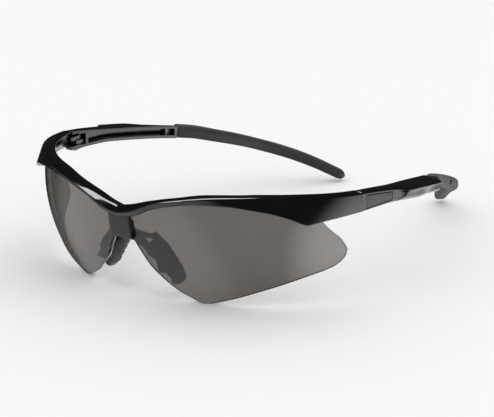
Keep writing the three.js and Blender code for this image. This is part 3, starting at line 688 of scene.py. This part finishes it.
def post_rings(sizes):
    """The post in front of the lens: a flat bar that follows the lens, softened along its edges."""
    half = math.degrees(math.asin(sizes.post_width / 2 / sizes.front_radius))
    inner, outer = LENS_FRONT + GAP, LENS_FRONT + GAP + sizes.post_thickness / MM
    top, foot = 13.6, 4.1
    rings = []
    for angle in steps(-half, half, 24):
        edge = 0.25 * max(0, abs(angle) / half * 6 - 5) ** 2
        outline = rounded([(inner, top), (outer - edge, top), (outer - edge, foot + 0.4),
                           (outer - 0.5 - edge, foot), (inner, foot)], [0.1, 0.3, 0.3, 0.3, 0.1])
        rings.append([shell(sizes, angle, height, out) for out, height in outline])
    return rings


class GLASSES_OT_brow(bpy.types.Operator):
    """Make the brow: the bar over the lens, the post at the nose, both endpieces and their hinge knuckles"""

    bl_idname = "glasses.brow"
    bl_label = "Brow"

    def execute(self, context):
        sizes = context.scene.glasses_sizes
        knuckles = []
        for tier in (0, 2):
            corners, faces = knuckle(sizes, tier, -1, HINGE[1] - SPLIT_Y + 1.5)
            knuckles += [(corners, faces), ([Vector((-p.x, p.y, p.z)) for p in corners], faces)]
        piece = new_mesh("brow", [loft(brow_rings(sizes)), loft(post_rings(sizes)), *knuckles])
        finish_piece(piece, "front", "brow_frame", material_of(moulded_gloss_black))
        return {"FINISHED"}


def lens_rings(sizes):
    """The lens's upright sections, closest together at its two ends. Each goes up the front face, over the
    top edge, down the back face and under the lower edge, and none goes below the floor."""
    def edge(centre, radius, outwards, upwards, turns):
        return [(centre[0] + outwards * radius * math.cos(a), centre[1] + upwards * radius * math.sin(a))
                for a in turns]

    front_out = LENS_FRONT
    back_out = front_out - sizes.lens_thickness / MM
    rows, early, late = 26, 0.5, 1.05
    rings = []
    for share in steps(-1, 1, 260):
        angle = LENS_END * math.sin(share * math.pi / 2)
        at = abs(angle)
        low, high = LENS_LOW(at), min(BROW_LOW(at) + 0.8, LOBE_TOP(at))
        soft = min(sizes.lens_edge_round / MM, 0.4 * (high - low))
        front = [(front_out, h) for h in steps(low + soft, high - soft, rows)]
        back = [(back_out, h) for h in steps(high - soft, low + soft, rows)]
        top = edge((front_out - soft, high - soft), soft, 1, 1, (early, late))
        over = edge((back_out + soft, high - soft), soft, -1, 1, (late, early))
        under = edge((back_out + soft, low + soft), soft, -1, -1, (early, late))
        rise = edge((front_out - soft, low + soft), soft, 1, -1, (late, early))
        outline = front + top + over + back + under + rise
        ring = [shell(sizes, angle, height, out) for out, height in outline]
        for p in ring:
            p.z = max(p.z, 0)
        rings.append(ring)
    return rings


class GLASSES_OT_lens(bpy.types.Operator):
    """Make the lens: one moulded smoke sheet that wraps round and ends in a lobe on each side"""

    bl_idname = "glasses.lens"
    bl_label = "Lens"

    def execute(self, context):
        piece = new_mesh("lens_smoke", [loft(lens_rings(context.scene.glasses_sizes))])
        finish_piece(piece, "front", "lens", material_of(smoke_polycarbonate), 40)
        return {"FINISHED"}


def pad_frames(count):
    """Middle, direction along, and direction away from the nose, at places along a nose pad."""
    path = path_points(PAD_POINTS, count)
    frames = []
    for middle, along in zip(path, tangents(path)):
        away = along.cross(PAD_ACROSS).normalized()
        frames.append((middle, along, away if away.x > 0 else -away))
    return frames


def pad_rings(sizes):
    """A nose pad: a soft strip with a scalloped edge on both sides."""
    half, thick = sizes.pad_width / MM / 2, sizes.pad_thickness / MM
    frames = pad_frames(120)[11:]  # the pad starts just below the top of its line
    run = sum((b[0] - a[0]).length for a, b in zip(frames, frames[1:]))
    rings = []
    dish, lift, scallop = 0.35, -0.3, 0.6
    for i, (middle, _, away) in enumerate(frames):
        t = i / (len(frames) - 1)
        taper = 0.4 + 0.6 * math.sqrt(max(0, 1 - (2 * t - 1) ** 4))
        lobe = scallop * abs(math.sin(math.pi * t * run / (2 * sizes.rib_pitch / MM)))
        reach = half * taper + lobe - 0.5
        outline = rounded(
            [(-reach, lift + dish), (0, lift), (reach, lift + dish), (reach, thick + lift + dish),
             (0, thick + lift), (-reach, thick + lift + dish)], [0.5, 2, 0.5, 0.5, 2, 0.5], 3)
        rings.append([middle + PAD_ACROSS * across + away * deep for across, deep in outline])
    rings[0] = shrunk(rings[0], 0.5)
    rings[-1] = shrunk(rings[-1], 0.5)
    return rings


def pad_slot(place, lean, side, long=2.6, wide=0.8):
    """A slanted oval cutter through a nose pad at a share of its length."""
    frames = pad_frames(100)
    middle, along, away = frames[round(place * 100)]
    direction = (along * math.cos(lean) + PAD_ACROSS * math.sin(lean)).normalized()
    across = direction.cross(away).normalized()
    rings = []
    for depth in (-3, 3):
        rings.append([middle + away * depth + direction * long * math.cos(a) + across * wide * math.sin(a)
                      for a in steps(0, 2 * math.pi, 24)[:-1]])
    return new_mesh("slot", [loft(rings)], side)


def clip_bodies(sizes):
    """The stiff clip behind the lens: a curved plate, and on each side an arm behind the pad, a neck that
    joins it to the plate, and a scalloped wing along the lens's nose edge."""
    outer = LENS_FRONT - sizes.lens_thickness / MM - GAP
    plate = []
    for angle in steps(-3.8, 3.8, 16):
        outline = rounded([(outer, 10), (outer - 1.3, 9.6), (outer - 1.3, 1.8), (outer, 1.4)], [0.3] * 4)
        plate.append([shell(sizes, angle, height, out) for out, height in outline])
    arm = []
    for middle, _, away in pad_frames(40)[:30]:
        outline = rounded([(-1.8, 1.45), (1.8, 1.45), (1.6, 2.7), (-1.6, 2.7)], [0.3] * 4)
        arm.append([middle + PAD_ACROSS * across + away * deep for across, deep in outline])
    arm[0], arm[-1] = shrunk(arm[0], 0.3), shrunk(arm[-1], 0.3)
    root = [shell(sizes, angle, height, outer - 0.8)
            for angle, height in ((1, 4), (3.4, 4), (3.4, 7), (1, 7))]
    middle, along, away = pad_frames(40)[2]
    head = [middle - PAD_ACROSS * 1.2 + along * run + away * deep for run, deep in
            ((-0.9, 1.5), (0.9, 1.5), (0.9, 2.6), (-0.9, 2.6))]
    neck = [[a.lerp(b, t) for a, b in zip(root, head)] for t in steps(0, 1, 6)]
    wing, wing_wall, scallop = [], 0.9, 0.6
    for height in steps(4, -9.5, 60):
        start, end = WING_START(height), WING_END(height) - scallop * abs(math.sin(height * 0.8))
        outline = rounded(
            [(start, outer), (end, outer), (end, outer - wing_wall), (start, outer - wing_wall)], [0.2] * 4)
        wing.append([shell(sizes, angle, height, out) for angle, out in outline])
    bodies = [loft(plate)]
    for body in (loft(arm), loft(neck), loft(wing)):
        bodies += [body, ([Vector((-p.x, p.y, p.z)) for p in body[0]], body[1])]
    return bodies


class GLASSES_OT_nose_piece(bpy.types.Operator):
    """Make the nose piece: the stiff clip and two soft pads with ribs, slots and scalloped edges"""

    bl_idname = "glasses.nose_piece"
    bl_label = "Nose Piece"

    def execute(self, context):
        sizes = context.scene.glasses_sizes
        clip = new_mesh("nose_clip", clip_bodies(sizes))
        finish_piece(clip, "front", "nose_bridge", material_of(satin_nylon))
        tree = rib_tree()
        elastomer = material_of(pad_elastomer)
        for name, side in (("left", 1), ("right", -1)):
            pad = new_mesh(f"pad_{name}", [loft(pad_rings(sizes))], side)
            cut(pad, [pad_slot(0.42, 0.55, side), pad_slot(0.62, 0.55, side)])
            row = [middle - away * 0.12 for middle, _, away in pad_frames(60)[6:-5]]
            ribs = line_object(f"ribs_{name}", row, side)
            across = PAD_ACROSS.copy()
            across.x *= side
            run_tree(ribs, tree, {
                "Pitch": sizes.rib_pitch, "Rib Length": sizes.pad_width * 0.8,
                "Rib Width": sizes.rib_pitch * 0.5, "Rib Rise": 0.9 * MM, "Across": across,
                "Material": elastomer})
            join(pad, [ribs])
            finish_piece(pad, "front", f"nose_pad_{name}", elastomer, 45)
        return {"FINISHED"}


class GLASSES_OT_screws(bpy.types.Operator):
    """Make the hinge screws: a turned shank with a slotted head"""

    bl_idname = "glasses.screws"
    bl_label = "Hinge Screws"

    def execute(self, context):
        sizes = context.scene.glasses_sizes
        top = KNUCKLE_FOOT + 3 * sizes.knuckle_height / MM + 2 * GAP
        head = KNUCKLE_FOOT - GAP
        head_radius = 1.25
        long, wide = 1.6, 0.16  # half the length and half the width of the slot in the head
        for name, side in (("left", 1), ("right", -1)):
            bodies = [drum(HINGE, sizes.screw_radius / MM, head - 0.2, top),
                      drum(HINGE, head_radius, head - 0.5, head)]
            piece = new_mesh(f"screw_{name}", bodies, side)
            corners = ((-long, -wide), (long, -wide), (long, wide), (-long, wide))
            groove = [[Vector((HINGE[0] + x, HINGE[1] + y, z)) for x, y in corners]
                      for z in (head - 2, head - 0.25)]
            cut(piece, [new_mesh("groove", [loft(groove)], side)])
            finish_piece(piece, "front", f"hinge_screw_{name}", material_of(turned_steel))
        return {"FINISHED"}


def arm_ring(y, seat, notch):
    """The arm's section at y, with a seat in its outer face and a notch in its inner face. The notch is how
    deep it is at its roof and at its floor, and how far those lie from the arm's top and underside."""
    low, top = ARM_LOW(y), ARM_TOP(y)
    foot, outer = ARM_FOOT(y), ARM_OUTER(y)
    ridge = top - RIDGE_DROP(y)
    inner = ARM_INNER(y)
    roof_depth, floor_depth, above, below = notch
    past_seat = min(1, max(0, (y - 62) / 6))
    foot_z = (INLAY_FOOT - GAP) * (1 - past_seat) + (low + 0.3 * (ridge - low)) * past_seat
    head_z = INLAY_FOOT + INLAY_HEIGHT + GAP - (y - INLAY[0]) * INLAY_SLOPE
    head_z = min(head_z, ridge - 1.0) * (1 - past_seat) + (low + 0.7 * (ridge - low)) * past_seat

    def face(z):
        return foot + (outer - foot) * (z - low) / (ridge - low)

    corners = [
        (inner, low), (foot - 0.8, low), (foot, low + 0.7),
        (face(foot_z), foot_z), (face(foot_z) - seat, foot_z),
        (face(head_z) - seat, head_z), (face(head_z), head_z),
        (outer, ridge - 0.4), (outer - 0.8, ridge + 0.1), (inner, top),
        (inner, top - above), (inner + roof_depth, top - above), (inner + floor_depth, low + below),
        (inner, low + below),
    ]
    radii = [0.4, 0.4, 0.5, 0.05, 0.05, 0.05, 0.05, 0.45, 0.6, 0.5, 0.12, 0.25, 0.25, 0.12]
    return [Vector((x, y, z)) for x, z in rounded(corners, radii, 3)]


def arm_rings(sizes):
    """Sections along the arm. Each hollow starts and ends between two that lie close together."""
    deep = sizes.channel_depth / MM
    seat_depth = sizes.inlay_thickness / MM + 0.1
    well = sizes.knuckle_radius / MM + GAP
    hollows = ((*POCKET, deep * 1.2, deep * 1.2), (*CHANNEL, deep * 0.55, deep * 0.9),
               (*END_HOLLOW, deep, deep))
    seat = (INLAY[0] - GAP, INLAY[1] + GAP)
    below_lip = 1.4  # how far the hollows' roof and floor lie from the arm's top and underside
    marks = [*steps(SPLIT_Y + GAP + SEAM, 47.8, 24), *steps(48, 68, 40), *steps(68.6, ARM_BEND, 40)]
    for start, end in [seat, *[h[:2] for h in hollows]]:
        marks = [y for y in marks if min(abs(y - start), abs(y - end)) > 0.2]
        marks += [start, start + 0.15, end - 0.15, end]

    def section(y):
        notch = (FLAT, FLAT, below_lip, below_lip)
        if y < HINGE[1] + well:
            reach = well if y <= HINGE[1] else math.sqrt(well ** 2 - (y - HINGE[1]) ** 2)
            depth = max(FLAT, HINGE[0] + reach - ARM_INNER(y))
            notch = (depth, depth, ARM_TOP(y) - COVER_FOOT, 0.05)
        for start, end, roof_depth, floor_depth in hollows:
            if start + 0.1 <= y <= end - 0.1:
                notch = (roof_depth, floor_depth, below_lip, below_lip)
        return arm_ring(y, seat_depth if seat[0] + 0.1 <= y <= seat[1] - 0.1 else FLAT, notch)

    rings = [section(y) for y in sorted(marks)]
    rings.insert(0, [p - Vector((0, 0.15, 0)) for p in shrunk(rings[0], 0.15)])
    path = path_points(TIP_POINTS, 60)
    square = (path[0] - tangents(path)[0] * (GAP + 0.2), tangents(path)[0])
    ends = [meets_plane(lambda y: section(y)[k], ARM_BEND - 3, RUN_OUT, square) for k in range(len(rings[0]))]
    for share in steps(0, 1, 4)[1:]:
        rings.append([section(ARM_BEND + share * (y - ARM_BEND))[k] for k, y in enumerate(ends)])
    rings.append([p + tangents(path)[0] * 0.2 for p in shrunk(rings[-1], 0.2)])
    return rings


class GLASSES_OT_temples(bpy.types.Operator):
    """Make the arms: gloss black, with the middle hinge knuckle, a pocket and a long channel inside"""

    bl_idname = "glasses.temples"
    bl_label = "Temples"

    def execute(self, context):
        sizes = context.scene.glasses_sizes
        for name, side in (("left", 1), ("right", -1)):
            arm = new_mesh(f"arm_{name}", [loft(arm_rings(sizes))], side)
            join(arm, [new_mesh("knuckle", [knuckle(sizes, 1, 1, 2.6)], side)])
            finish_piece(arm, f"temple_{name}", f"temple_{name}",
                         material_of(moulded_gloss_black), 28)
        return {"FINISHED"}


class GLASSES_OT_inlays(bpy.types.Operator):
    """Make the matt plates let into the arms' outer faces"""

    bl_idname = "glasses.inlays"
    bl_label = "Inlays"

    def execute(self, context):
        sizes = context.scene.glasses_sizes
        thick = sizes.inlay_thickness / MM
        rings = []
        for y in steps(*INLAY, 16):
            low, ridge = ARM_LOW(y), ARM_TOP(y) - 0.2
            foot, outer = ARM_FOOT(y), ARM_OUTER(y)
            z0, z1 = INLAY_FOOT, min(INLAY_FOOT + INLAY_HEIGHT - (y - INLAY[0]) * INLAY_SLOPE, ridge - 1.3)
            x0, x1 = (foot + (outer - foot) * (z - low) / (ridge - low) for z in (z0, z1))
            outline = rounded([(x0 - thick, z0), (x0, z0), (x1, z1), (x1 - thick, z1)], [0.05, 0.2, 0.2, 0.05])
            rings.append([Vector((x, y, z)) for x, z in outline])
        ends = [[p + Vector((0, push, 0)) for p in shrunk(rings[k], 0.15)]
                for k, push in ((0, -0.1), (-1, 0.1))]
        rings = [ends[0], *rings, ends[1]]
        for name, side in (("left", 1), ("right", -1)):
            piece = new_mesh(f"inlay_{name}", [loft(rings)], side)
            finish_piece(piece, f"temple_{name}", f"temple_inlay_{name}",
                         material_of(spark_eroded_grey))
        return {"FINISHED"}


SOCKET_PLACE = 0.37  # the socket's place, as a share of the tip's length


def tip_girth(t):
    """How full the soft tip is along its length: it narrows steadily and rounds off at its end."""
    end = min(1, (1 - t) / 0.04)
    return (1 - 0.24 * t) * (0.25 + 0.75 * math.sqrt(1 - (1 - end) ** 2)) * (1 if t > 0 else 0.96)


class GLASSES_OT_tips(bpy.types.Operator):
    """Make the soft tips: a sleeve swept down behind the ear, with a round socket in its outer face"""

    bl_idname = "glasses.tips"
    bl_label = "Soft Tips"

    def execute(self, context):
        sizes = context.scene.glasses_sizes
        path = path_points(TIP_POINTS, sizes.tip_steps)
        girths = [tip_girth(i / sizes.tip_steps) for i in range(sizes.tip_steps + 1)]
        rubber = material_of(tip_rubber)
        tree = sleeve_tree()
        at = round(SOCKET_PLACE * sizes.tip_steps)
        along = tangents(path)[at]
        outwards = along.cross(Vector((0, 0, 1))).normalized()
        turn = Vector((0, 0, 1)).rotation_difference(outwards).to_matrix()
        radius = sizes.socket_radius / MM
        for name, side in (("left", 1), ("right", -1)):
            tip = run_tree(line_object(f"tip_{name}", path, side, girths), tree, {
                "Width": sizes.tip_width, "Height": sizes.tip_height, "Corner": sizes.tip_corner,
                "Material": rubber})
            socket = [[path[at] + turn @ Vector((radius * math.cos(a), radius * math.sin(a), z))
                       for a in steps(0, 2 * math.pi, 32)[:-1]] for z in (0.6, 5)]
            ground = [[Vector((x, y, z)) for x, y in ((-90, 140), (90, 140), (90, 190), (-90, 190))]
                      for z in (-12, 0)]
            cut(tip, [new_mesh("socket", [loft(socket)], side), new_mesh("ground", [loft(ground)])])
            finish_piece(tip, f"temple_{name}", f"temple_tip_{name}", rubber, 40)
        return {"FINISHED"}


# ---- stage ----
# What glossy faces mirror besides the lamp: patches of light round the scene. Each has the direction towards
# it, the cosines from that direction at which it begins and is full, and how bright it is.
SURROUND = (
    ((-0.35, 0.7, -0.62), 0.86, 0.97, 1.0),    # low, behind
    ((0.5, 0.75, -0.4), 0.8, 0.94, 1.8),       # low, behind and to the wearer's left
    ((0.88, 0.22, -0.43), 0.7, 1.0, 2.6),      # low, to the wearer's left
    ((-0.6, -0.52, -0.62), 0.6, 0.9, 0.8),     # low, in front and to the wearer's right
)
SURROUND_BASE = 0.02    # how bright the rest of the surround looks in a glossy face
CAMERA_AROUND, CAMERA_RISE, CAMERA_ROLL = 39.08, 17.15, -0.92  # degrees
CAMERA_TARGET = Vector((-17.34, 11.04, 7.26)) * MM
CAMERA_DISTANCE = 0.997
CAMERA_LENS, CAMERA_SENSOR = 184.2, 36                         # millimetres


def camera_axes():
    """Right, up and back of the camera: round to the wearer's left, a little above, turned very slightly."""
    around, rise, roll = (math.radians(a) for a in (CAMERA_AROUND, CAMERA_RISE, CAMERA_ROLL))
    back = Vector((math.sin(around) * math.cos(rise), -math.cos(around) * math.cos(rise), math.sin(rise)))
    right = Vector((math.cos(around), math.sin(around), 0))
    up = back.cross(right)
    return (right * math.cos(roll) + up * math.sin(roll), up * math.cos(roll) - right * math.sin(roll), back)


def soft_box(name, place, target, size, power):
    """A lamp that only shows mirrored in glossy faces, at a place, aimed at a target, in metres and watts."""
    data = bpy.data.lights.new(name, "AREA")
    data.shape, data.size, data.size_y, data.energy = "RECTANGLE", size[0], size[1], power
    lamp = bpy.data.objects.new(name, data)
    lamp.location = place
    lamp.visible_diffuse = lamp.visible_camera = lamp.visible_transmission = False
    lamp.rotation_euler = (Vector(target) - Vector(place)).to_track_quat("-Z", "Y").to_euler()
    bpy.context.scene.collection.objects.link(lamp)
    return lamp


def white_surround():
    """An even white world that lights everything, with the patches of light where a glossy face mirrors it."""
    world = bpy.data.worlds.new("White Surround")
    world.use_nodes = True
    tree = world.node_tree
    tree.nodes.clear()
    around = add_node(tree, "ShaderNodeTexCoord", {}).outputs["Generated"]
    level = add_node(tree, "ShaderNodeValue", {}).outputs[0]
    level.default_value = SURROUND_BASE
    for toward, start, full, bright in SURROUND:
        facing = add_node(tree, "ShaderNodeVectorMath", {0: around, 1: Vector(toward).normalized()},
                          operation="DOT_PRODUCT")
        patch = add_node(tree, "ShaderNodeMapRange", {
            "Value": facing.outputs["Value"], "From Min": start, "From Max": full, "To Max": bright},
            interpolation_type="SMOOTHSTEP")
        level = add_node(tree, "ShaderNodeMath", {0: level, 1: patch.outputs["Result"]},
                         operation="MAXIMUM").outputs["Value"]
    mirrored = add_node(tree, "ShaderNodeLightPath", {}).outputs["Is Glossy Ray"]
    seen = add_node(tree, "ShaderNodeMix", {"Factor": mirrored, "A": 1.0, "B": level}, data_type="FLOAT")
    sky = add_node(tree, "ShaderNodeBackground", {"Strength": seen.outputs["Result"], "Color": (1, 1, 1, 1)})
    add_node(tree, "ShaderNodeOutputWorld", {"Surface": sky.outputs["Background"]})
    return world


class GLASSES_OT_stage(bpy.types.Operator):
    """Make the stage: a pale floor, one soft lamp, a white surround and the camera"""

    bl_idname = "glasses.stage"
    bl_label = "Stage"

    def execute(self, context):
        scene = context.scene
        mesh = bpy.data.meshes.new("floor")
        reach = 6
        mesh.from_pydata([(-reach, -reach, 0), (reach, -reach, 0), (reach, reach, 0), (-reach, reach, 0)], [],
                         [(0, 1, 2, 3)])
        floor = bpy.data.objects.new("floor", mesh)
        scene.collection.objects.link(floor)
        mesh.materials.append(material_of(pale_floor))
        floor.visible_glossy = False

        scene.world = white_surround()
        soft_box("Key", (-0.2, -0.42, 0.9), (0, -0.06, 0.04), (0.62, 1.0), 20)

        right, up, back = camera_axes()
        data = bpy.data.cameras.new("camera")
        data.lens, data.sensor_width, data.clip_start = CAMERA_LENS, CAMERA_SENSOR, 0.05
        camera = bpy.data.objects.new("camera", data)
        place = CAMERA_TARGET + back * CAMERA_DISTANCE
        camera.matrix_world = Matrix.Translation(place) @ Matrix((right, up, back)).transposed().to_4x4()
        scene.collection.objects.link(camera)
        scene.camera = camera
        scene.view_settings.view_transform = "Standard"
        return {"FINISHED"}


OPERATORS = (GLASSES_OT_brow, GLASSES_OT_lens, GLASSES_OT_nose_piece, GLASSES_OT_screws, GLASSES_OT_temples,
             GLASSES_OT_inlays, GLASSES_OT_tips, GLASSES_OT_stage)


class GLASSES_PT_panel(bpy.types.Panel):
    """Lists the pieces and the sizes and colours they are made with"""

    bl_label = "Safety Glasses"
    bl_idname = "GLASSES_PT_panel"
    bl_space_type = "VIEW_3D"
    bl_region_type = "UI"
    bl_category = "Glasses"

    def draw(self, context):
        for operator in OPERATORS:
            self.layout.operator(operator.bl_idname)
        for group in (context.scene.glasses_sizes, context.scene.glasses_colours):
            for name in group.__annotations__:
                self.layout.prop(group, name)


CLASSES = (GlassesSizes, GlassesColours, *OPERATORS, GLASSES_PT_panel)


def register():
    for cls in CLASSES:
        bpy.utils.register_class(cls)
    bpy.types.Scene.glasses_sizes = PointerProperty(type=GlassesSizes)
    bpy.types.Scene.glasses_colours = PointerProperty(type=GlassesColours)


def unregister():
    del bpy.types.Scene.glasses_colours
    del bpy.types.Scene.glasses_sizes
    for cls in reversed(CLASSES):
        bpy.utils.unregister_class(cls)


def main():
    """Registers the add-on, and makes every piece and the stage in order."""
    register()
    for operator in OPERATORS:
        _, name = operator.bl_idname.split(".")
        getattr(bpy.ops.glasses, name)()


if __name__ == "__main__":
    main()
